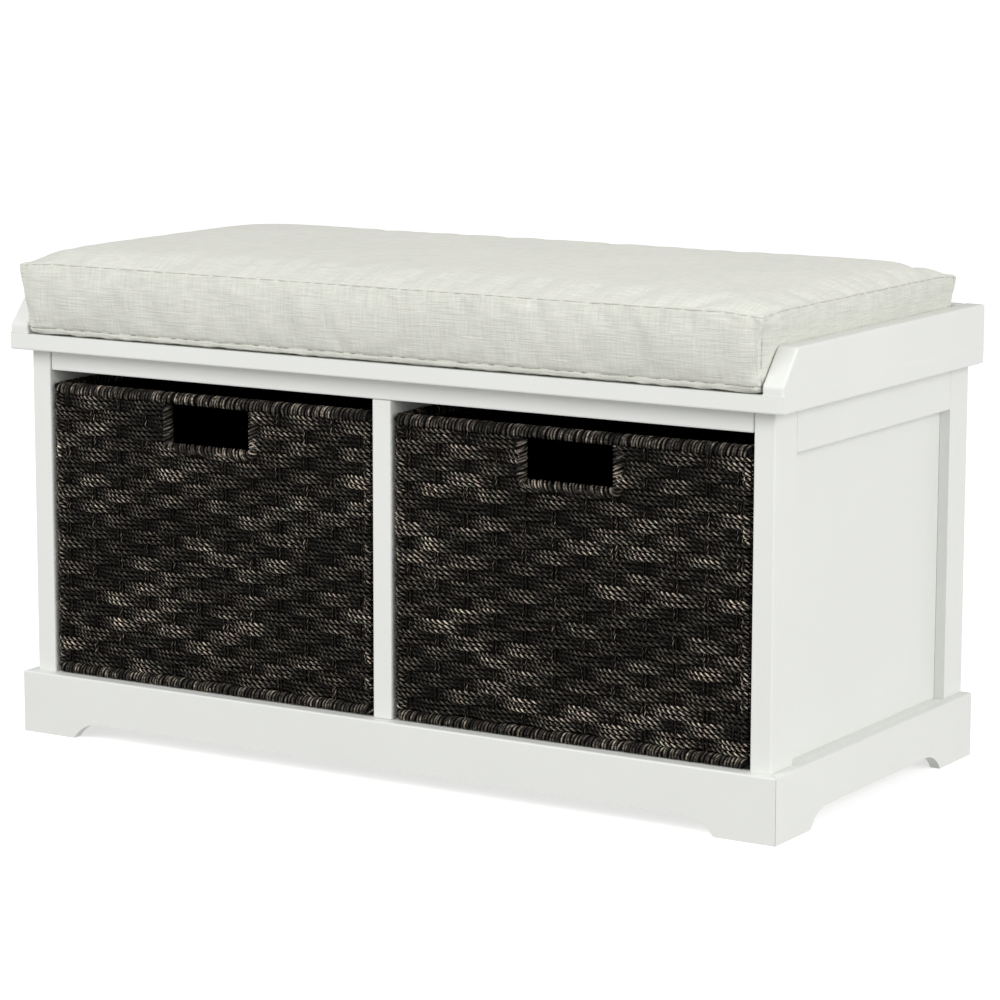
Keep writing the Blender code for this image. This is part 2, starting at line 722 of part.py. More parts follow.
def basket(side, word):
    """A woven box on a wire frame: wall, base, wrapped rim and foot ring, and a hand hole."""
    centre_x = side * BAY_CENTRE_X
    centre_y = BASKET_FRONT + BASKET_D / 2
    inset = RIM_W / 2
    ring_w, ring_d = BASKET_W - 2 * inset, BASKET_D - 2 * inset
    ring_r = BASKET_CORNER_R - inset
    rim_z = BASKET_TOP - RIM_H
    foot_top = BASKET_BOTTOM + FOOT_RING_H
    rim_ring_z = rim_z + RIM_H / 2
    foot_ring_z = BASKET_BOTTOM + FOOT_RING_H / 2

    def named(piece):
        return f"basket_{word}_{piece}"

    def at(z):
        return Vector((centre_x, centre_y, z))

    ring_channel(named("rim"), at(rim_z), ring_w, ring_d, ring_r, wrap_section(RIM_H, True), ROPE)
    ring_channel(
        named("foot_ring"), at(BASKET_BOTTOM), ring_w, ring_d, ring_r,
        wrap_section(FOOT_RING_H, False), ROPE,
    )
    wall_h = rim_z - foot_top - 2 * CLEARANCE
    wall_z = foot_top + CLEARANCE + wall_h / 2
    outline = rounded_rectangle(BASKET_W, BASKET_D, BASKET_CORNER_R)
    wall = slab(named("wall"), outline, wall_h, at(wall_z), (0, 0, 0), ROPE)
    inner = rounded_rectangle(
        BASKET_W - 2 * WEAVE_T, BASKET_D - 2 * WEAVE_T, BASKET_CORNER_R - WEAVE_T
    )
    hollow = slab(
        named("hollow"), inner, BASKET_H + 2 * OVERCUT, at(wall_z), (0, 0, 0), None, CUTTERS
    )
    cut(hollow, wall)
    base_inset = 2 * (RIM_W + CLEARANCE)
    base = rounded_rectangle(BASKET_W - base_inset, BASKET_D - base_inset, WEAVE_T)
    slab(named("base"), base, BASE_T, at(BASKET_BOTTOM + BASE_T / 2), (0, 0, 0), ROPE)

    # The hand hole hangs from the rim: its wrapped edge runs down, across and up again.
    half = GRIP_W / 2 + GRIP_R
    low_z = rim_z - GRIP_H - GRIP_R
    grip_y = BASKET_FRONT + inset
    bend = GRIP_R * 1.5
    line = [(-half, rim_z - CLEARANCE), (-half, low_z + bend), (-half + bend * 0.3, low_z + bend * 0.3),
            (-half + bend, low_z)]
    line += [(-x, z) for x, z in reversed(line)]
    tube(named("grip"), [(centre_x + x, grip_y, z) for x, z in line], GRIP_R, False, ROPE)
    hole_half = half + GRIP_R + CLEARANCE
    hole = box(
        named("grip_hole"),
        (centre_x - hole_half, BASKET_FRONT - OVERCUT, low_z - GRIP_R - CLEARANCE),
        (centre_x + hole_half, BASKET_FRONT + RIM_W + OVERCUT, rim_z + OVERCUT),
        None, CUTTERS,
    )
    cut(hole, wall)

    ring = rounded_rectangle(ring_w, ring_d, ring_r)

    def wire_ring(piece, z, collection, look=None):
        points = [(centre_x + x, centre_y + y, z) for x, y in ring]
        return tube(named(piece), points, WIRE_R, True, look, collection)

    frame = wire_ring("frame", rim_ring_z, PARTS, WIRE)
    boolean(frame, wire_ring("lower_wire", foot_ring_z, CUTTERS), "UNION")
    # The uprights stand a hair inside the rings, so that no edges of the two coincide.
    upright_x = BASKET_W / 2 - UPRIGHT_INSET
    upright_y = ring_d / 2 - 2 * BASKET_CORNER_R
    overlap = WIRE_R * 0.4  # how far an upright runs past the middle of each ring
    for number, (sx, sy) in enumerate(((-1, -1), (1, -1), (1, 1), (-1, 1)), 1):
        x, y = centre_x + sx * upright_x, centre_y + sy * upright_y
        upright = tube(
            named(f"upright_{number}"),
            [(x, y, foot_ring_z - overlap), (x, y, rim_ring_z + overlap)],
            UPRIGHT_R, False, None, CUTTERS, 10,
        )
        boolean(frame, upright, "UNION")


def main():
    rails = carcass()
    plinth()
    seat(*rails)
    cushion()
    for side, word in ((-1, "left"), (1, "right")):
        basket(side, word)


main()
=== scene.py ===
"""The looks of an entryway storage bench: painted boards, a linen seat cushion and two woven baskets.

Everything is in metres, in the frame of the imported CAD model, and takes its place from the CAD
nodes' boxes: +Z up, -Y is the open front, and the origin is on the floor under the seat board.
"""

import json
from math import ceil, cos, pi, radians, sin

import bmesh
import bpy
import numpy as np
from mathutils import Matrix, Vector


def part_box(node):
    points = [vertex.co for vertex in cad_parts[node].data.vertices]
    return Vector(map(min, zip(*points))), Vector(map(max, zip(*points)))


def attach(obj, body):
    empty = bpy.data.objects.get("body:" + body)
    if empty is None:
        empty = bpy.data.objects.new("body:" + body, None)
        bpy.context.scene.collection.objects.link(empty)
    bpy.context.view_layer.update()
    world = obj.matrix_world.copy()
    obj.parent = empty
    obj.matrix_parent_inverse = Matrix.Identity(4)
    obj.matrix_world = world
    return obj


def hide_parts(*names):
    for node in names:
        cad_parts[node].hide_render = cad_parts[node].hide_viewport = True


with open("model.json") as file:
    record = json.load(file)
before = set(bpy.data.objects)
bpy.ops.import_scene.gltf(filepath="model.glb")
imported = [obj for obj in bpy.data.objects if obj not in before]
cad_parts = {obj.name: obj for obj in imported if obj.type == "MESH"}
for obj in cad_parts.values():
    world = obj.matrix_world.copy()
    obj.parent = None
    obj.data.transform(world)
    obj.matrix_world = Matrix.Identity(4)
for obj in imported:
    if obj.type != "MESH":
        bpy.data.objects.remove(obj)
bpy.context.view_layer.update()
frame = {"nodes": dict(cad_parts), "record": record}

# ---------------------------------------------------------------- driving values
SEED = 7

# The camera stands a long way off and has a long lens.
CAMERA_AZIMUTH = 31.77
CAMERA_ELEVATION = 9.61
CAMERA_ROLL = 0.09
CAMERA_DISTANCE = 3.351
CAMERA_TARGET = Vector((0.0128, -0.0040, 0.2297))
CAMERA_LENS = 132.17

# Baskets: cords woven in and out of paired stakes.
PLIES = 2  # strands in a cord
ROW_PITCH = 0.00403
ROWS_PER_GROUP = 3
STAKE_PITCH = 0.0290
CORNER_R = 0.0012  # of the line that the cords follow round a corner
PROUD = 0.0005  # how far the line of the cords lies outside the middle of the hand hole's edge
CORD_R = 0.00195
WEAVE_SWING = 0.0028  # how far a cord passes in front of and behind the stakes
GROUP_FAN = 0.00028  # the cords of a group spread apart where they bulge outwards
PLY_TWIST = 0.0112  # length in which the strands of a cord turn once
LINING_R = 0.0021  # cords behind the stakes, which close the wall
LINING_DEPTH = 0.0027  # inside the line that the woven cords follow
LINING_STEP = 0.006  # between points along a lining cord
LINING_SIDES = 5
FRONT_STEP, FRONT_SIDES = 0.00105, 8  # along and round a cord of the front, which is seen closest
OTHER_STEP, OTHER_SIDES = 0.0016, 6  # the same on the other walls
SHORTEST_SPAN = 0.004  # a shorter piece of cord beside the hand hole is left out
STAKE_R = 0.0010
STAKE_PAIR_GAP = 0.0030
WRAP_CORD_R = 0.0015
WRAP_STARTS = 3  # cords wound side by side round the rim
WRAP_PITCH = 0.0031  # along the rim, from one wrapped cord to the next
BASE_CORD_R, BASE_SWING = 0.0016, 0.0008

# Cushion
CUSHION_CELL = 0.0065

BEAD_R = 0.0006  # of the paint that closes a joint
BEAD_SUNK = 0.72  # the share of its radius that is sunk in the boards
BOARD_ROUND = 0.0004  # of the painted boards' sharp edges

# Light: the world's strength above and below, and each softbox's place, size and watts.
WORLD_ABOVE, WORLD_BELOW = 0.62, 0.46
WORLD_SEEN = 1.02
KEY_LIGHT = ((-0.9, -3.3, 2.5), (3.2, 2.4), 88)
SIDE_LIGHT = ((3.6, -0.8, 1.5), (2.6, 2.2), 72)
FLOOR_SIZE = 120
FLOOR_GLOW = 0.46  # lifts the far floor, which the softboxes hardly reach, to white


# ---------------------------------------------------------------- node materials
def new_material(name, **constants):
    """A Principled material whose constant values are set on the shader's own sockets."""
    material = bpy.data.materials.new(name)
    material.use_nodes = True
    shader = material.node_tree.nodes["Principled BSDF"]
    for socket, value in constants.items():
        shader.inputs[socket.replace("_", " ")].default_value = value
    return material, material.node_tree, shader


def add(tree, kind, inputs=None, **settings):
    """A shader node. An input's value is a constant, or another node's output."""
    node = tree.nodes.new("ShaderNode" + kind)
    for key, value in settings.items():
        setattr(node, key, value)
    for socket, value in (inputs or {}).items():
        if isinstance(value, bpy.types.NodeSocket):
            tree.links.new(value, node.inputs[socket])
        else:
            node.inputs[socket].default_value = value
    return node


def math(tree, operation, a, b=0.0, c=0.0):
    return add(tree, "Math", {0: a, 1: b, 2: c}, operation=operation).outputs[0]


def noise(tree, where, scale, detail=2.0, roughness=0.5, stretch=(1, 1, 1)):
    """Noise from 0 to 1 at a point, squeezed along the axes where `stretch` is large."""
    spread = add(tree, "Mapping", {"Vector": where, "Scale": stretch}).outputs[0]
    inputs = {"Vector": spread, "Scale": scale, "Detail": detail, "Roughness": roughness}
    return add(tree, "TexNoise", inputs).outputs[0]


def ramp(tree, value, low, high, out_low=0.0, out_high=1.0):
    """value, taken from the span low..high to the span out_low..out_high."""
    inputs = {0: value, 1: low, 2: high, 3: out_low, 4: out_high}
    return add(tree, "MapRange", inputs, clamp=True).outputs[0]


def blend_colour(tree, factor, a, b):
    node = add(tree, "Mix", {"Factor": factor}, data_type="RGBA")
    for socket, value in ((6, a), (7, b)):
        if isinstance(value, bpy.types.NodeSocket):
            tree.links.new(value, node.inputs[socket])
        else:
            node.inputs[socket].default_value = (*value, 1)
    return node.outputs[2]


def set_bump(tree, shader, height, distance, strength=1.0):
    inputs = {"Height": height, "Distance": distance, "Strength": strength}
    bump = add(tree, "Bump", inputs)
    tree.links.new(bump.outputs[0], shader.inputs["Normal"])


def set_colour(tree, shader, colour):
    tree.links.new(colour, shader.inputs["Base Color"])


def set_roughness(tree, shader, value):
    tree.links.new(value, shader.inputs["Roughness"])


def object_point(tree):
    return add(tree, "TexCoord").outputs["Object"]


def paint_material(name, albedo=(0.775, 0.785, 0.755)):
    """Sprayed satin lacquer on board: a fine orange peel, and faint unevenness in colour and gloss."""
    material, tree, shader = new_material(name, Specular_IOR_Level=0.45)
    point = object_point(tree)
    broad = noise(tree, point, 7.0, 3.0)
    shade = ramp(tree, broad, 0.3, 0.7)
    darker = tuple(channel * 0.975 for channel in albedo)
    colour = blend_colour(tree, shade, darker, albedo)
    set_colour(tree, shader, colour)
    peel = noise(tree, point, 620.0, 2.0, 0.6)
    roller = noise(tree, point, 90.0, 2.0, 0.5, (1.0, 1.0, 0.35))
    set_roughness(tree, shader, ramp(tree, roller, 0.25, 0.75, 0.33, 0.45))
    height = math(tree, "MULTIPLY_ADD", roller, 0.6, peel)
    set_bump(tree, shader, height, 0.00006, 0.6)
    return material


def weave_gap_shade_material(name):
    """Dull, unreflecting and nearly black: painted shade that keeps the gaps of the weave dark."""
    material, tree, shader = new_material(name, Roughness=1.0, Specular_IOR_Level=0.0)
    shade = noise(tree, object_point(tree), 260, 3.0)
    set_colour(tree, shader, blend_colour(tree, shade, (0.0030, 0.0028, 0.0026), (0.0090, 0.0082, 0.0074)))
    return material


def rope_material(name, dark=(0.0030, 0.0029, 0.0028), tan=(0.86, 0.80, 0.62), pink=(0.90, 0.72, 0.60)):
    """Dyed twisted rush: near-black in the twist, tan along the crests and in patches. The tan on the crests
    is partly rubbed fibre and partly a painted highlight. The patches are rubbed wear, and the cords' tone
    brings in painted shade where woven cords pass behind the stakes.
    """
    material, tree, shader = new_material(name, Specular_IOR_Level=0.06)
    strand = add(tree, "Attribute", attribute_name="strand").outputs["Vector"]
    parts = add(tree, "SeparateXYZ", {0: strand})
    crest, tone = parts.outputs[1], parts.outputs[2]
    point = object_point(tree)
    patch = noise(tree, point, 42.0, 2.0, 0.6)
    fleck = noise(tree, point, 420.0, 2.0, 0.7, (0.45, 0.45, 1.0))
    wear_and_shade = math(tree, "MULTIPLY", ramp(tree, patch, 0.40, 0.66, 1.0, 3.2), tone)
    # Tan along the ply crests: partly rubbed fibre, partly a painted highlight.
    crest_wear_and_highlight = math(tree, "POWER", ramp(tree, crest, 0.60, 1.0), 2.2)
    wear_and_painted_light = math(tree, "MULTIPLY", crest_wear_and_highlight, wear_and_shade)
    wear_and_painted_light = math(tree, "MULTIPLY", wear_and_painted_light, ramp(tree, fleck, 0.36, 0.64, 0.12, 1.2))
    wear_and_painted_light = math(tree, "MINIMUM", wear_and_painted_light, 1.0)
    hue = noise(tree, point, 95.0, 1.0, 0.5)
    tan = blend_colour(tree, ramp(tree, hue, 0.35, 0.65), tan, pink)
    body = blend_colour(tree, fleck, dark, tuple(channel * 2.4 for channel in dark))
    set_colour(tree, shader, blend_colour(tree, wear_and_painted_light, body, tan))
    set_roughness(tree, shader, ramp(tree, fleck, 0.3, 0.7, 0.42, 0.62))
    set_bump(tree, shader, fleck, 0.0004, 0.7)
    return material


def linen_material(name, light=(0.80, 0.80, 0.735), dark=(0.57, 0.575, 0.515)):
    """Plain-woven linen: warp and weft at a millimetre, with thicker slubs along the weft."""
    material, tree, shader = new_material(name, Specular_IOR_Level=0.25, Sheen_Weight=0.15)
    coordinates = add(tree, "TexCoord")
    at = add(tree, "SeparateXYZ", {0: coordinates.outputs["Object"]}).outputs
    facing = add(tree, "SeparateXYZ", {0: coordinates.outputs["Normal"]}).outputs
    end_face = math(tree, "GREATER_THAN", math(tree, "ABSOLUTE", facing[0]), 0.62)
    flat_face = math(tree, "GREATER_THAN", math(tree, "ABSOLUTE", facing[2]), 0.62)

    def choose(factor, a, b):
        return add(tree, "Mix", {0: factor, 2: a, 3: b}, data_type="FLOAT").outputs[0]

    along = choose(end_face, at[0], at[1])
    across = choose(flat_face, at[2], at[1])
    cloth = add(tree, "CombineXYZ", {0: along, 1: across}).outputs[0]
    weft = noise(tree, cloth, 1.0, 2.0, 0.6, (40, 640, 1))
    warp = noise(tree, cloth, 1.0, 2.0, 0.6, (600, 45, 1))
    slub = noise(tree, cloth, 1.0, 1.0, 0.5, (22, 420, 1))
    broad = noise(tree, cloth, 9.0, 2.0)
    thread = math(tree, "MULTIPLY_ADD", warp, 0.8, weft)
    thread = ramp(tree, thread, 0.60, 1.20)
    lifted = ramp(tree, slub, 0.66, 0.76)
    tone = math(tree, "MULTIPLY_ADD", lifted, 0.50, math(tree, "MULTIPLY", thread, 0.70))
    tone = math(tree, "MULTIPLY_ADD", ramp(tree, broad, 0.3, 0.7), 0.14, tone)
    set_colour(tree, shader, blend_colour(tree, tone, dark, light))
    set_roughness(tree, shader, ramp(tree, thread, 0.0, 1.0, 0.95, 0.80))
    height = math(tree, "MULTIPLY_ADD", lifted, 0.8, thread)
    set_bump(tree, shader, height, 0.00045, 0.8)
    return material


def metal_material(name, colour, roughness):
    """Plated or drawn metal with fine brushing and a little unevenness in its gloss."""
    material, tree, shader = new_material(name, Metallic=1.0)
    point = object_point(tree)
    brushed = noise(tree, point, 300.0, 3.0, 0.6, (1, 1, 6))
    set_colour(tree, shader, blend_colour(tree, brushed, tuple(c * 0.8 for c in colour), colour))
    set_roughness(tree, shader, ramp(tree, brushed, 0.2, 0.8, roughness - 0.08, roughness + 0.12))
    set_bump(tree, shader, brushed, 0.00003, 0.5)
    return material


def timber_material(name, light=(0.66, 0.47, 0.30), dark=(0.46, 0.30, 0.17)):
    """Bare beech, with grain along the dowel and short darker flecks."""
    material, tree, shader = new_material(name, Specular_IOR_Level=0.3)
    grain = noise(tree, object_point(tree), 500.0, 4.0, 0.6, (0.05, 1, 1))
    set_colour(tree, shader, blend_colour(tree, grain, dark, light))
    set_roughness(tree, shader, ramp(tree, grain, 0.2, 0.8, 0.55, 0.75))
    set_bump(tree, shader, grain, 0.00005, 0.6)
    return material


PAINT = paint_material("white_paint")
ROPE = rope_material("twisted_rush")
# Near-black cords behind the weave: painted shade in the gaps between rows.
WEAVE_GAP_SHADE = weave_gap_shade_material("weave_gap_shade_rush")
STAKE = rope_material("stake_rush", dark=(0.004, 0.0035, 0.003), tan=(0.30, 0.26, 0.19))
LINEN = linen_material("linen")
# Seam threads darker than the linen: painted shade in the seam grooves.
SEAM_FAINT_SHADE = linen_material("seam_thread_faint_shade", (0.60, 0.60, 0.54), (0.45, 0.45, 0.40))
SEAM_DEEP_SHADE = linen_material("seam_thread_deep_shade", (0.30, 0.30, 0.25), (0.20, 0.20, 0.16))
STEEL = metal_material("zinc_plated_steel", (0.62, 0.62, 0.64), 0.35)
WIRE = metal_material("black_wire", (0.05, 0.05, 0.05), 0.45)
ZIP_METAL = metal_material("zip_metal", (0.50, 0.49, 0.46), 0.40)
BEECH = timber_material("beech")


# ---------------------------------------------------------------- mesh helpers
def smoothstep(value, low, high):
    t = np.clip((value - low) / (high - low), 0, 1)
    return t * t * (3 - 2 * t)


def mesh_object(name, verts, quads, strand=None):
    """A smooth-shaded object from arrays of points and four-sided faces."""
    mesh = bpy.data.meshes.new(name)
    quads = np.asarray(quads, np.int32)
    mesh.vertices.add(len(verts))
    mesh.vertices.foreach_set("co", np.asarray(verts, np.float32).ravel())
    mesh.loops.add(quads.size)
    mesh.loops.foreach_set("vertex_index", quads.ravel())
    mesh.polygons.add(len(quads))
    mesh.polygons.foreach_set("loop_start", np.arange(len(quads), dtype=np.int32) * 4)
    mesh.update(calc_edges=True)
    mesh.shade_smooth()
    if strand is not None:
        layer = mesh.attributes.new("strand", "FLOAT_VECTOR", "POINT")
        layer.data.foreach_set("vector", np.asarray(strand, np.float32).ravel())
    obj = bpy.data.objects.new(name, mesh)
    bpy.context.scene.collection.objects.link(obj)
    return obj


def curve_piece(name, points, radius, material, body, closed=False):
    """A round thread or bead along a line of points."""
    data = bpy.data.curves.new(name, "CURVE")
    data.dimensions = "3D"
    spline = data.splines.new("POLY")
    spline.points.add(len(points) - 1)
    for point, at in zip(spline.points, points):
        point.co = (*at, 1)
    spline.use_cyclic_u = closed
    data.bevel_depth = radius
    data.bevel_resolution = 3
    data.use_fill_caps = not closed
    data.materials.append(material)
    obj = bpy.data.objects.new(name, data)
    bpy.context.scene.collection.objects.link(obj)
    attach(obj, body)
    return obj


def cap_quads(first, sides):
    """Faces that close one end of a tube whose ring of points starts at `first`.

    They close it fully for an even number of sides. For an odd number one corner stays open.
    """
    half = sides // 2
    return [
        (first + k, first + k + 1, first + sides - 2 - k, first + sides - 1 - k)
        for k in range(half - 1)
    ]


class Cords:
    """Twisted cords, gathered into one mesh."""

    def __init__(self, seed):
        self.verts, self.quads, self.strand = [], [], []
        self.count = 0
        self.random = np.random.default_rng(seed)

    def add(self, points, out, radius, sides, twist=PLY_TWIST, tone=1.0):
        """One cord along `points`. `out` holds a direction across the cord at each point.

        A cord with no twist is a plain round one, paler along the side that faces `out`: partly rubbed wear,
        partly a painted highlight.
        """
        points = np.asarray(points, float)
        along = np.gradient(points, axis=0)
        steps = np.linalg.norm(along, axis=1)
        along /= steps[:, None]
        out = out - along * (out * along).sum(1)[:, None]
        out /= np.linalg.norm(out, axis=1)[:, None]
        side = np.cross(along, out)
        length = np.concatenate([[0], np.cumsum(np.linalg.norm(np.diff(points, axis=0), axis=1))])
        phase = self.random.uniform(0, 2 * pi)
        turn = phase + 2 * pi * length / twist if twist else np.zeros(len(points))
        theta = np.arange(sides) * 2 * pi / sides
        angle = turn[:, None] + theta[None, :]
        # The crest factor marks the ply crests, or a plain cord's outer side, where the rope material paints
        # its highlight and rubbed wear.
        crest = np.abs(np.cos(PLIES / 2 * theta)) if twist else np.maximum(np.cos(theta), 0)
        shape = 0.50 + 0.50 * crest if twist else np.ones(sides)
        reach = radius * shape[None, :, None]
        rings = points[:, None] + reach * (
            np.cos(angle)[..., None] * out[:, None] + np.sin(angle)[..., None] * side[:, None]
        )
        count = len(points)
        first = self.count
        ring = np.arange(count - 1)[:, None] * sides
        spoke = np.arange(sides)[None, :]
        after = (spoke + 1) % sides
        quads = np.stack(
            [ring + spoke, ring + after, ring + sides + after, ring + sides + spoke], axis=-1
        ).reshape(-1, 4) + first
        start = np.array(cap_quads(first, sides))[:, ::-1]
        end = np.array(cap_quads(first + (count - 1) * sides, sides))
        tones = np.asarray(tone) * self.wander(length)
        strand = np.empty((count, sides, 3))
        strand[..., 0] = length[:, None]
        strand[..., 1] = crest[None, :]
        strand[..., 2] = tones[:, None]
        self.verts.append(rings.reshape(-1, 3))
        self.quads += [quads, start, end]
        self.strand.append(strand.reshape(-1, 3))
        self.count += count * sides

    def wander(self, length, knot=0.035):
        """A brightness that drifts along a cord, as dye takes unevenly."""
        knots = self.random.uniform(0.25, 1.0, int(length[-1] / knot) + 3)
        return np.interp(length / knot, np.arange(len(knots)), knots)

    def build(self, name, material, body):
        obj = mesh_object(
            name, np.concatenate(self.verts), np.concatenate(self.quads), np.concatenate(self.strand)
        )
        obj.data.materials.append(material)
        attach(obj, body)
        return obj


# ---------------------------------------------------------------- painted carcass
def dress_cad_nodes():
    """Gives each carried-over CAD node its material, and the boards a hairline round on sharp edges."""
    looks = {
        "white_paint": PAINT, "beech": BEECH, "screw_steel": STEEL, "zip_metal": ZIP_METAL,
        "wire": WIRE, "linen": LINEN, "foam": LINEN, "rope": ROPE,
    }
    slots = {entry["node"]: entry["material_slot"] for entry in frame["record"]["subparts"]}
    for name, obj in frame["nodes"].items():
        obj.data.materials.clear()
        obj.data.materials.append(looks[slots[name]])
        if slots[name] == "white_paint":
            bevel = obj.modifiers.new("hairline_round", "BEVEL")
            bevel.width = BOARD_ROUND
            bevel.segments = 1
            bevel.limit_method = "ANGLE"
            bevel.angle_limit = radians(50)


# ---------------------------------------------------------------- baskets
class Ring:
    """A rounded rectangle seen from above, walked anticlockwise from the middle of its front side."""

    def __init__(self, centre, width, depth, radius):
        self.centre, self.radius = centre, radius
        self.half = np.array([width / 2 - radius, depth / 2 - radius])
        half_x, half_y = self.half
        arc = pi * radius / 2
        lengths = [half_x, arc, 2 * half_y, arc, 2 * half_x, arc, 2 * half_y, arc, half_x]
        self.edges = np.concatenate([[0], np.cumsum(lengths)])
        self.length = self.edges[-1]

    def corner_middles(self):
        """Distances to the middle of each corner, from the front right one on."""
        return (self.edges[[1, 3, 5, 7]] + self.edges[[2, 4, 6, 8]]) / 2

    def at(self, distance):
        """Points (x, y) and outward directions at distances along the ring."""
        distance = np.mod(distance, self.length)
        half_x, half_y = self.half
        r = self.radius
        e = self.edges
        corners = np.array([(half_x, -half_y), (half_x, half_y), (-half_x, half_y), (-half_x, -half_y)])
        xy = np.zeros((len(distance), 2))
        out = np.zeros((len(distance), 2))
        piece = np.clip(np.searchsorted(e, distance, side="right") - 1, 0, 8)
        along = distance - e[piece]
        straight = {
            0: ((0, -half_y - r), (1, 0), (0, -1)),
            2: ((half_x + r, -half_y), (0, 1), (1, 0)),
            4: ((half_x, half_y + r), (-1, 0), (0, 1)),
            6: ((-half_x - r, half_y), (0, -1), (-1, 0)),
            8: ((-half_x, -half_y - r), (1, 0), (0, -1)),
        }
        for index, (start, step, normal) in straight.items():
            here = piece == index
            xy[here] = np.array(start) + along[here, None] * np.array(step)
            out[here] = normal
        for number, index in enumerate((1, 3, 5, 7)):
            here = piece == index
            angle = -pi / 2 + number * pi / 2 + along[here] / r
            direction = np.stack([np.cos(angle), np.sin(angle)], axis=1)
            xy[here] = corners[number] + r * direction
            out[here] = direction
        return xy + self.centre, out


def spans_outside(low, high, hole):
    """The parts of low..high that a hole leaves."""
    if hole is None or hole[0] >= high or hole[1] <= low:
        return [(low, high)]
    return [span for span in ((low, hole[0]), (hole[1], high)) if span[1] - span[0] > SHORTEST_SPAN]


class Basket:
    """One woven basket, from the CAD boxes of its rim, foot ring, grip and base."""

    def __init__(self, side):
        self.body = f"basket_{side}"
        self.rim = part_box(f"{self.body}_rim")
        self.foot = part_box(f"{self.body}_foot_ring")
        self.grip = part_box(f"{self.body}_grip")
        low, high = self.rim
        size = high - low
        centre = (low + high) / 2
        self.inset = (self.grip[1].y - self.grip[0].y) / 2 + (self.grip[0].y - low.y)
        self.ring = Ring(
            np.array([centre.x, centre.y]),
            size.x - 2 * (self.inset - PROUD),
            size.y - 2 * (self.inset - PROUD),
            CORNER_R,
        )
        self.seed = SEED + (100 if side == "left" else 200)
        self.stakes = 2 * round(self.ring.length / STAKE_PITCH / 2)
        self.stake_step = self.ring.length / self.stakes
        self.grip_r = (self.grip[1].y - self.grip[0].y) / 2

    def piece(self, name):
        return f"{self.body}_{name}"

    def weave_row(self, cords, row, low, high, step, sides):
        """One cord of the wall, over the distances low..high round the ring."""
        group = row // ROWS_PER_GROUP
        place = row % ROWS_PER_GROUP - (ROWS_PER_GROUP - 1) / 2
        distance = np.linspace(low, high, max(3, ceil((high - low) / step) + 1))
        swing = np.cos(pi * (distance / self.stake_step + 0.5 + group))
        corner = self.near_corner(distance)
        swing = swing * (1 - corner) + corner
        drift = np.random.default_rng(self.seed + 31 * row)
        knots = drift.normal(0, 1, 60)
        wobble = np.interp(np.mod(distance, self.ring.length) / self.ring.length * 59, np.arange(60), knots)
        reach = WEAVE_SWING * (1 + 0.10 * wobble)
        xy, out = self.ring.at(distance)
        xy = xy + out * (swing * reach)[:, None]
        z = self.row_z(row) + place * GROUP_FAN * swing + 0.00018 * wobble
        points = np.column_stack([xy, z])
        outward = np.column_stack([out, np.zeros(len(out))])
        radius = CORD_R * (1 + 0.05 * drift.uniform(-1, 1))
        bulge = np.round((distance / self.stake_step + 0.5 + group) / 2).astype(int)
        # Paler where the cord bulges out past the stakes, darker where it passes behind them: partly rubbed
        # wear, partly painted shade in the recesses.
        wear_and_painted_light = self.bulge_wear(group, bulge) * (0.30 + 0.70 * smoothstep(swing, -0.5, 0.8))
        twist = PLY_TWIST * drift.uniform(0.88, 1.12)
        cords.add(points, outward, radius, sides, twist, wear_and_painted_light)

    def line_walls(self):
        """Cords behind the stakes, one behind each gap between rows, so that no light comes through. Their
        near-black, unreflecting look is painted shade in the gaps of the weave.
        """
        cords = Cords(self.seed + 50)
        corners = self.ring.corner_middles()
        front_low, front_high = corners[3] - self.ring.length, corners[0]
        for row in range(self.row_count()):
            for low, high in spans_outside(front_low, front_high, self.hole_for(self.row_z(row))):
                self.lining_row(cords, row, low, high)
            self.lining_row(cords, row, front_high, front_low + self.ring.length)
        return cords.build(self.piece("gap_shade_cords"), WEAVE_GAP_SHADE, self.body)

    def lining_row(self, cords, row, low, high):
        """The cord that runs straight behind the stakes, level with the gap above a row."""
        distance = np.linspace(low, high, max(3, ceil((high - low) / LINING_STEP) + 1))
        xy, out = self.ring.at(distance)
        z = np.full(len(distance), self.row_z(row) + self.row_pitch() / 2)
        outward = np.column_stack([out, np.zeros(len(out))])
        cords.add(np.column_stack([xy - out * LINING_DEPTH, z]), outward, LINING_R, LINING_SIDES, None, 0.0)

    def bulge_wear(self, group, bulge):
        """How far each place where a group of cords bulges outwards has been rubbed: most are dark."""
        table = np.random.default_rng(self.seed + 5000 + group).uniform(0, 1, 2 * self.stakes)
        return 0.16 + 0.84 * table[np.mod(bulge, self.stakes // 2)] ** 1.8

    def near_corner(self, distance, reach=0.009):
        """1 at the middle of each corner, falling to 0 a little way along the sides."""
        corners = self.ring.corner_middles()
        gap = np.abs(np.mod(distance, self.ring.length)[:, None] - corners[None, :]).min(axis=1)
        return 1 - smoothstep(gap, 0.0, reach)

    def row_z(self, row):
        bottom = self.foot[1].z + CORD_R * 0.6
        return bottom + (row + 0.3) * self.row_pitch()

    def row_count(self):
        return round((self.rim[0].z - self.foot[1].z) / ROW_PITCH)

    def row_pitch(self):
        return (self.rim[0].z - self.foot[1].z) / self.row_count()

    def hole_for(self, z):
        """The span of the front wall, as distances from its middle, that the hand hole takes at a height."""
        if z < self.grip[0].z + self.grip_r:
            return None
        half = (self.grip[1].x - self.grip[0].x) / 2 - self.grip_r
        return (-half, half)

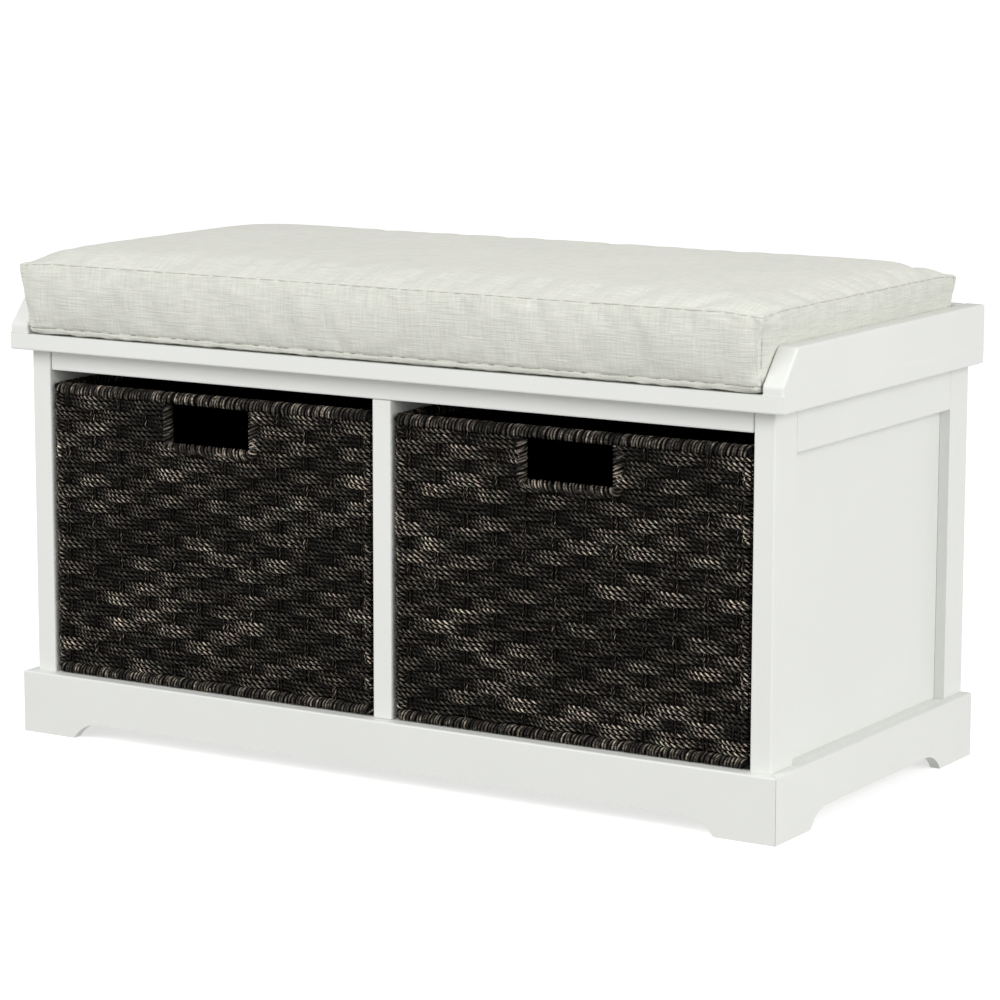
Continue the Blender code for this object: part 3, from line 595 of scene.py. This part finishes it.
    def weave_walls(self):
        """The front in two pieces, and one piece for each other side, from corner to corner."""
        corners = self.ring.corner_middles()
        front = (corners[3] - self.ring.length, corners[0])
        rows = self.row_count()
        halves = (("front_lower", 0, rows // 2), ("front_upper", rows // 2, rows))
        pieces = []
        for number, (name, first, last) in enumerate(halves):
            cords = Cords(self.seed + number)
            for row in range(first, last):
                for low, high in spans_outside(*front, self.hole_for(self.row_z(row))):
                    self.weave_row(cords, row, low, high, FRONT_STEP, FRONT_SIDES)
            pieces.append(cords.build(self.piece(f"weave_{name}"), ROPE, self.body))
        for number, name in enumerate(("right_side", "back", "left_side")):
            cords = Cords(self.seed + 10 + number)
            for row in range(rows):
                self.weave_row(cords, row, corners[number], corners[number + 1], OTHER_STEP, OTHER_SIDES)
            pieces.append(cords.build(self.piece(f"weave_{name}"), ROPE, self.body))
        return pieces

    def stand_stakes(self):
        cords = Cords(self.seed + 20)
        for stake in range(self.stakes):
            middle = (stake + 0.5) * self.stake_step
            for offset in (-STAKE_PAIR_GAP / 2, STAKE_PAIR_GAP / 2):
                xy, out = self.ring.at(np.array([middle + offset]))
                gap = abs(xy[0][0] - self.ring.centre[0])
                over_hole = out[0][1] < -0.9 and gap < (self.grip[1].x - self.grip[0].x) / 2
                top = self.grip[0].z + self.grip_r if over_hole else self.rim[0].z + self.grip_r
                z = np.linspace(self.foot[1].z - self.grip_r, top, 60)
                lean = np.interp(z, np.linspace(z[0], z[-1], 14), cords.random.normal(0, 0.0006, 14))
                sideways = np.array([-out[0][1], out[0][0]])
                points = np.column_stack([xy + sideways * lean[:, None], z])
                outward = np.repeat([[*out[0], 0.0]], len(z), axis=0)
                pale = np.interp(z, np.linspace(z[0], z[-1], 20), cords.random.uniform(0, 1, 20) ** 3)
                cords.add(points, outward, STAKE_R, 6, 0.012, pale)
        return cords.build(self.piece("stakes"), STAKE, self.body)

    def wrap(self, cords, path, half_wide, half_high, closed):
        """Cords wound side by side round a core that follows `path`, a function of distance."""
        length, at = path
        per_turn = WRAP_PITCH * WRAP_STARTS
        turns = max(2, round(length / per_turn))
        around = 20
        for start in range(WRAP_STARTS):
            t = np.linspace(0, turns, turns * around + 1)
            knots = np.arange(0, turns + 0.5, 0.5)
            slip = np.interp(t, knots, cords.random.normal(0, WRAP_PITCH * 0.26, len(knots)))
            distance = np.clip(t / turns * length + slip, 0, length)
            angle = 2 * pi * (t + start / WRAP_STARTS)
            points, out, up = at(distance)
            wobble = np.interp(t, knots, cords.random.normal(1, 0.035, len(knots)))
            across = np.cos(angle)[:, None] * out * half_wide + np.sin(angle)[:, None] * up * half_high
            direction = across / np.linalg.norm(across, axis=1)[:, None]
            patches = np.arange(0, turns + 0.2, 0.2)
            pale = np.interp(t, patches, 0.03 + 0.50 * cords.random.uniform(0, 1, len(patches)) ** 2)
            cords.add(points + across * wobble[:, None], direction, WRAP_CORD_R, 8, None, pale)
        steps = 120 if closed else 24
        distance = np.linspace(0, length, steps)
        points, out, up = at(distance)
        core = min(half_wide, half_high) * 0.92
        cords.add(points, out, core, 8, None, 0.0)

    def ring_path(self, z):
        def at(distance):
            xy, out = self.ring.at(distance)
            points = np.column_stack([xy, np.full(len(xy), z)])
            outward = np.column_stack([out, np.zeros(len(out))])
            return points, outward, np.tile([0.0, 0.0, 1.0], (len(out), 1))

        return self.ring.length, at

    def grip_path(self):
        """The U that hangs from the rim round the hand hole: down, across and up again."""
        half = (self.grip[1].x - self.grip[0].x) / 2 - self.grip_r
        top = self.rim[0].z
        bottom = self.grip[0].z + self.grip_r
        centre = (self.grip[0] + self.grip[1]) / 2
        bend = self.grip_r * 1.2
        drop = top - bottom - bend
        arc = pi * bend / 2
        run = 2 * (half - bend)
        edges = np.cumsum([0, drop, arc, run, arc, drop])

        def at(distance):
            piece = np.clip(np.searchsorted(edges, distance, side="right") - 1, 0, 4)
            along = distance - edges[piece]
            x, z, ox, oz = (np.zeros(len(distance)) for _ in range(4))
            down, left, flat, right, up = (piece == k for k in range(5))
            x[down], z[down], ox[down] = -half, top - along[down], -1
            turn = along[left] / bend
            x[left] = -half + bend - bend * np.cos(turn)
            z[left] = bottom + bend - bend * np.sin(turn)
            ox[left], oz[left] = -np.cos(turn), -np.sin(turn)
            x[flat], z[flat], oz[flat] = -half + bend + along[flat], bottom, -1
            turn = along[right] / bend
            x[right] = half - bend + bend * np.sin(turn)
            z[right] = bottom + bend - bend * np.cos(turn)
            ox[right], oz[right] = np.sin(turn), -np.cos(turn)
            x[up], z[up], ox[up] = half, bottom + bend + along[up], 1
            zero = np.zeros(len(x))
            points = np.column_stack([centre.x + x, np.full(len(x), centre.y), z])
            return points, np.tile([0.0, -1.0, 0.0], (len(x), 1)), np.column_stack([ox, zero, oz])

        return edges[-1], at

    def wraps(self):
        half_wide = self.inset - WRAP_CORD_R
        half_rim = (self.rim[1].z - self.rim[0].z) / 2 - WRAP_CORD_R
        half_foot = (self.foot[1].z - self.foot[0].z) / 2 - WRAP_CORD_R
        made = {}
        for name, box, half_high, seed in (
            ("rim_wrap", self.rim, half_rim, 30), ("foot_wrap", self.foot, half_foot, 31)
        ):
            cords = Cords(self.seed + seed)
            middle = (box[0].z + box[1].z) / 2
            self.wrap(cords, self.ring_path(middle), half_wide, half_high, True)
            made[name] = cords.build(self.piece(name), ROPE, self.body)
        cords = Cords(self.seed + 32)
        half = self.grip_r - WRAP_CORD_R * 0.8
        self.wrap(cords, self.grip_path(), half, half, False)
        made["grip_wrap"] = cords.build(self.piece("grip_wrap"), ROPE, self.body)
        return made

    def weave_base(self):
        low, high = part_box(self.piece("base"))
        cords = Cords(self.seed + 40)
        pitch = 2 * BASE_CORD_R
        rows = int((high.y - low.y) / pitch)
        x = np.linspace(low.x - 0.006, high.x + 0.006, 90)
        for row in range(rows):
            y = np.full(len(x), low.y + (row + 0.5) * pitch)
            lift = np.cos(pi * (x / STAKE_PITCH + row // ROWS_PER_GROUP))
            z = (low.z + high.z) / 2 + BASE_SWING * lift
            upward = np.tile([0.0, 0.0, 1.0], (len(x), 1))
            cords.add(np.column_stack([x, y, z]), upward, BASE_CORD_R, OTHER_SIDES)
        return cords.build(self.piece("base_weave"), ROPE, self.body)

    def make(self):
        walls = self.weave_walls()
        gap_shade_cords = self.line_walls()
        stakes = self.stand_stakes()
        made = self.wraps()
        base = self.weave_base()
        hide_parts(self.piece("wall"))
        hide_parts(self.piece("rim"))
        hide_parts(self.piece("foot_ring"))
        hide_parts(self.piece("grip"))
        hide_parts(self.piece("base"))
        return [*walls, gap_shade_cords, stakes, *made.values(), base]


# ---------------------------------------------------------------- cushion
class Cushion:
    """A foam slab in a sewn linen cover: crowned on top, overhanging the seat's front edge a little."""

    FRONT_OVERHANG = 0.0040
    TOP_FLARE = 0.0045  # it swells out above the arms that hold its lower part
    CROWN = 0.0115
    CORNER_DROP = 0.0025
    SIDE_GAP = 0.0006
    TOP_ROUND = 0.0032
    BOTTOM_ROUND = 0.0075
    CAP = 0.0030
    # Distances of the cover's grid lines from each edge, close together where it is sewn.
    NEAR_EDGE = (0, 0.0015, 0.0030, 0.0045, 0.0060, 0.0078, 0.0100, 0.0135, 0.0185, 0.0250)
    SEAM_ROW = 4  # the bottom and corner seams run along this grid line
    SEAM_SINK = 0.0014
    SEAM_WIDTH = 0.0009
    PUCKER = 0.0009
    PUCKER_PITCH = 0.0135
    PUCKER_PLACE, PUCKER_WIDTH = 0.006, 0.005  # from the seam to where the puckers are highest
    PRESSURE = 4.0
    SHRINK = -0.012  # below 0 the cloth grows, which gives it slack to wrinkle
    SWELL_FRAMES = 20

    def __init__(self):
        self.low, self.high = (np.array(corner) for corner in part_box("cushion_cover"))
        arm_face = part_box("arm_right")[0].x - self.SIDE_GAP
        self.low[0], self.high[0] = -arm_face, arm_face
        self.low[1] -= self.FRONT_OVERHANG
        self.centre = (self.low + self.high) / 2
        self.half = (self.high - self.low) / 2

    def grid_lines(self, axis):
        """Places of the grid lines along an axis, from -1 to 1."""
        half = self.half[axis]
        near = [d for d in self.NEAR_EDGE if d < half - 0.004]
        rest = half - near[-1]
        steps = max(1, round(rest / CUSHION_CELL))
        inner = near[-1] + rest * np.arange(1, steps + 1) / steps
        distance = np.concatenate([near, inner])
        left = -1 + distance / half
        return np.concatenate([left, -left[:-1][::-1]])

    def cage(self):
        """The six panels of the cover as one closed mesh, on a cube of side 2."""
        lines = [self.grid_lines(axis) for axis in range(3)]
        work = bmesh.new()
        for axis in range(3):
            u, v = (axis + 1) % 3, (axis + 2) % 3
            for sign in (-1, 1):
                grid = bmesh.ops.create_grid(
                    work, x_segments=len(lines[u]) - 1, y_segments=len(lines[v]) - 1, size=1.0
                )["verts"]
                for vert in grid:
                    at = [0.0, 0.0, 0.0]
                    at[axis] = sign
                    for place, value in ((u, vert.co.x), (v, vert.co.y)):
                        index = round((value + 1) / 2 * (len(lines[place]) - 1))
                        at[place] = lines[place][index]
                    vert.co = at
        bmesh.ops.remove_doubles(work, verts=work.verts, dist=1e-4)
        bmesh.ops.recalc_face_normals(work, faces=work.faces)
        mesh = bpy.data.meshes.new("cushion_linen")
        work.to_mesh(mesh)
        work.free()
        return mesh

    def shape(self, unit):
        """Points of the cushion for points on the surface of a cube of side 2."""
        reach = unit * self.half
        rounding = np.where(unit[:, 2] < 0, self.BOTTOM_ROUND, self.TOP_ROUND)[:, None]
        inner = self.half - rounding
        core = np.clip(reach, -inner, inner)
        beyond = reach - core
        length = np.linalg.norm(beyond, axis=1)[:, None]
        rounded = core + beyond / np.maximum(length, 1e-9) * np.minimum(length, rounding)
        ux, uy, uz = unit.T
        rise = (uz + 1) / 2
        crown = (1 - np.abs(ux) ** 18) * (1 - np.abs(uy) ** 9) * smoothstep(uz, 0.3, 1.0)
        dome = (1 - ux**2) * (1 - uy**2) * smoothstep(uz, 0.3, 1.0)
        corner = smoothstep(np.abs(ux), 0.90, 1.0) * smoothstep(np.abs(uy), 0.80, 1.0)
        flare = smoothstep(rise, 0.60, 0.95)
        belly = (1 - uz**2) * 0.0012
        rounded[:, 2] += self.CROWN * (0.75 * crown + 0.25 * dome) - self.CORNER_DROP * corner * rise
        rounded[:, 0] += np.sign(ux) * (np.abs(ux) > 0.9) * self.TOP_FLARE * flare
        front = uy < -0.9
        rounded[:, 1] -= front * (self.TOP_FLARE * smoothstep(rise, 0.0, 0.9) + belly)
        return rounded + self.centre

    def limit(self, points, start):
        """Keeps the swollen cover close to its cut shape, and clear of the arms, back board and zip."""
        move = points - start
        length = np.linalg.norm(move, axis=1)[:, None]
        points = start + move * np.minimum(1, self.CAP / np.maximum(length, 1e-9))
        arm_low, arm_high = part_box("arm_right")
        held = points[:, 2] < arm_high.z + 0.001
        wall = arm_low.x - 0.0004
        points[held, 0] = np.clip(points[held, 0], -wall, wall)
        zip_low, zip_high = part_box("cushion_zip")
        middle = (zip_low.z + zip_high.z) / 2
        near = 1 - smoothstep(np.abs(points[:, 2] - middle), 0.005, 0.016)
        back_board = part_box("gallery_back")[0].y - 0.0010
        limit = back_board + (zip_low.y + 0.0002 - back_board) * near
        points[:, 1] = np.minimum(points[:, 1], limit)
        seat_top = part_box("seat_board")[1].z + 0.0004
        points[:, 2] = np.maximum(points[:, 2], seat_top)
        return points

    def make(self):
        mesh = self.cage()
        count = len(mesh.vertices)
        unit = np.empty(count * 3)
        mesh.vertices.foreach_get("co", unit)
        unit = unit.reshape(-1, 3)
        start = self.shape(unit)
        mesh.vertices.foreach_set("co", start.ravel())
        obj = bpy.data.objects.new("cushion_linen", mesh)
        bpy.context.scene.collection.objects.link(obj)
        settled = self.swell(obj, unit)
        settled = self.limit(settled, start)
        mesh.vertices.foreach_set("co", settled.ravel())
        mesh.update()
        self.sew(mesh, unit, settled)
        mesh.shade_smooth()
        mesh.materials.append(LINEN)
        smooth = obj.modifiers.new("smooth", "SUBSURF")
        smooth.levels = smooth.render_levels = 1
        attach(obj, "cushion")
        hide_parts("cushion_cover", "cushion_foam")
        self.stitch(mesh, unit)
        return obj

    def swell(self, obj, unit):
        """A short cloth simulation: the foam's pressure fills a cover that is held along its seams."""
        edges = (np.abs(np.abs(unit) - 1) < 1e-4).sum(axis=1)
        held = obj.vertex_groups.new(name="seams")
        held.add(np.nonzero(edges >= 2)[0].tolist(), 1.0, "REPLACE")
        cloth = obj.modifiers.new("cloth", "CLOTH")
        settings = cloth.settings
        settings.vertex_group_mass = "seams"
        settings.use_pressure = True
        settings.uniform_pressure_force = self.PRESSURE
        settings.shrink_min = self.SHRINK
        settings.tension_stiffness = settings.compression_stiffness = 25
        settings.bending_stiffness = 1.2
        settings.mass = 0.3
        settings.effector_weights.gravity = 0
        scene = bpy.context.scene
        cloth.point_cache.frame_start, cloth.point_cache.frame_end = 1, self.SWELL_FRAMES
        for number in range(1, self.SWELL_FRAMES + 1):
            scene.frame_set(number)
        evaluated = obj.evaluated_get(bpy.context.evaluated_depsgraph_get())
        moved = np.empty(len(unit) * 3)
        evaluated.data.vertices.foreach_get("co", moved)
        obj.modifiers.remove(cloth)
        obj.vertex_groups.remove(held)
        scene.frame_set(1)
        return moved.reshape(-1, 3)

    def sew(self, mesh, unit, points):
        """Sinks the seam lines into the cover, and raises small puckers along the cloth beside them."""
        normals = np.empty(len(unit) * 3)
        mesh.vertices.foreach_get("normal", normals)
        normals = normals.reshape(-1, 3)
        metres = (unit + 1) * self.half
        spare = 2 * self.half - metres
        edge = np.minimum(metres, spare)
        on_face = edge < 1e-6
        seam_at = self.NEAR_EDGE[self.SEAM_ROW]
        upright = on_face[:, 0] | on_face[:, 1]
        lines = [
            (upright, metres[:, 2], seam_at, 1.0),  # above the bottom panel, all round
            (upright, spare[:, 2], 0.0015, 0.30),  # under the top panel, pressed flat
            (on_face[:, 0], edge[:, 1], seam_at, 1.0),  # down the end panels, beside each corner
        ]
        shift = np.zeros(len(unit))
        for member, distance, at, strength in lines:
            gap = np.abs(distance - at)
            sunk = np.exp(-((gap / self.SEAM_WIDTH) ** 2))
            run = metres[:, 0] + metres[:, 1] + metres[:, 2]
            wave = run * 2 * pi / self.PUCKER_PITCH + 2 * np.sin(run * 61)
            ripple = np.sin(wave) * np.sin(run * 97 + at * 900)
            beside = np.exp(-(((gap - self.PUCKER_PLACE) / self.PUCKER_WIDTH) ** 2))
            shift += member * strength * (beside * ripple * self.PUCKER * 0.5 - sunk * self.SEAM_SINK)
        held = (points[:, 2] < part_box("arm_right")[1].z + 0.002) & on_face[:, 0]
        shift = np.where(held, np.minimum(shift, 0), shift)
        moved = points + normals * shift[:, None]
        mesh.vertices.foreach_set("co", moved.ravel())
        mesh.update()

    def stitch(self, mesh, unit):
        """Thread along the seams: round the top and bottom panels, and down each end panel's edges. Its
        colour, darker than the linen, is painted shade in the seam grooves: faint along the top, deep along
        the bottom and the corners.
        """
        points = np.empty(len(unit) * 3)
        mesh.vertices.foreach_get("co", points)
        points = points.reshape(-1, 3)
        y_in, z_in = (1 - self.NEAR_EDGE[self.SEAM_ROW] / self.half)[1:]

        def line(fixed, along):
            here = np.all([np.abs(unit[:, axis] - value) < 1e-4 for axis, value in fixed.items()], axis=0)
            return points[here][np.argsort(unit[here][:, along])]

        number = 0
        top_z = 1 - self.NEAR_EDGE[1] / self.half[2]
        for z, look, radius in ((top_z, SEAM_FAINT_SHADE, 0.00045), (-z_in, SEAM_DEEP_SHADE, 0.00050)):
            front, back = line({1: -1, 2: z}, 0), line({1: 1, 2: z}, 0)[::-1]
            right, left = line({0: 1, 2: z}, 1), line({0: -1, 2: z}, 1)[::-1]
            loop = np.concatenate([front, right[1:], back[1:], left[1:-1]])
            number += 1
            curve_piece(f"cushion_seam_{number}", loop, radius, look, "cushion", True)
        for sx in (-1, 1):
            for sy in (-y_in, y_in):
                number += 1
                upright = line({0: sx, 1: sy}, 2)
                curve_piece(f"cushion_seam_{number}", upright, 0.0006, SEAM_DEEP_SHADE, "cushion")


# ---------------------------------------------------------------- paint over joints
def paint_beads():
    """A fine bead of paint that closes the joint between each arm and the seat board."""
    for side in ("left", "right"):
        low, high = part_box(f"arm_{side}")
        inner, outer = (low.x, high.x) if side == "right" else (high.x, low.x)
        sink = BEAD_R * BEAD_SUNK
        out_x = outer - sink if side == "right" else outer + sink
        z = (low.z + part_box("seat_board")[1].z) / 2
        front = low.y + sink
        path = [(inner, front, z), (out_x, front, z), (out_x, high.y, z)]
        curve_piece(f"paint_bead_{side}", path, BEAD_R, PAINT, "bench")


# ---------------------------------------------------------------- stage
def floor_material():
    material, tree, shader = new_material(
        "pale_floor", Roughness=0.9, Specular_IOR_Level=0.1,
        Emission_Color=(1, 1, 1, 1), Emission_Strength=FLOOR_GLOW,
    )
    shade = noise(tree, object_point(tree), 1.5, 2.0)
    set_colour(tree, shader, blend_colour(tree, shade, (0.90, 0.90, 0.90), (0.92, 0.92, 0.92)))
    return material


def stage():
    bpy.ops.mesh.primitive_plane_add(size=FLOOR_SIZE, location=(0, 0, 0))
    floor = bpy.context.active_object
    floor.name = "floor"
    floor.data.materials.append(floor_material())
    floor.visible_diffuse = False
    studio_world()
    bpy.context.scene.view_settings.view_transform = "Standard"
    softbox("key_light", *KEY_LIGHT)
    softbox("side_light", *SIDE_LIGHT)


def studio_world():
    """White to the camera. It lights the object brightly from above and faintly from below."""
    world = bpy.data.worlds.new("soft_studio")
    world.use_nodes = True
    bpy.context.scene.world = world
    tree = world.node_tree
    sky = tree.nodes["Background"]
    height = add(tree, "SeparateXYZ", {0: add(tree, "TexCoord").outputs["Generated"]}).outputs[2]
    glow = ramp(tree, height, -0.25, 0.35, WORLD_BELOW, WORLD_ABOVE)
    seen = add(tree, "LightPath").outputs["Is Camera Ray"]
    strength = add(tree, "Mix", {0: seen, 2: glow, 3: WORLD_SEEN}, data_type="FLOAT").outputs[0]
    tree.links.new(strength, sky.inputs["Strength"])
    sky.inputs["Color"].default_value = (1.0, 1.0, 1.0, 1)


def softbox(name, location, size, power):
    data = bpy.data.lights.new(name, "AREA")
    data.shape = "RECTANGLE"
    data.size, data.size_y = size
    data.energy = power
    light = bpy.data.objects.new(name, data)
    light.location = location
    aim = CAMERA_TARGET - Vector(location)
    light.rotation_euler = aim.to_track_quat("-Z", "Y").to_euler()
    bpy.context.scene.collection.objects.link(light)


def camera():
    data = bpy.data.cameras.new("camera")
    data.sensor_width = 36
    data.lens = CAMERA_LENS
    data.clip_end = 200
    azimuth, elevation = radians(CAMERA_AZIMUTH), radians(CAMERA_ELEVATION)
    away = Vector((sin(azimuth) * cos(elevation), -cos(azimuth) * cos(elevation), sin(elevation)))
    obj = bpy.data.objects.new("camera", data)
    turn = (-away).to_track_quat("-Z", "Y").to_matrix().to_4x4()
    roll = Matrix.Rotation(radians(CAMERA_ROLL), 4, "Z")
    obj.matrix_world = Matrix.Translation(CAMERA_TARGET + away * CAMERA_DISTANCE) @ turn @ roll
    bpy.context.scene.collection.objects.link(obj)
    bpy.context.scene.camera = obj


def main():
    dress_cad_nodes()
    for side in ("left", "right"):
        for piece in Basket(side).make():
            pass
    Cushion().make()
    paint_beads()
    stage()
    camera()


main()
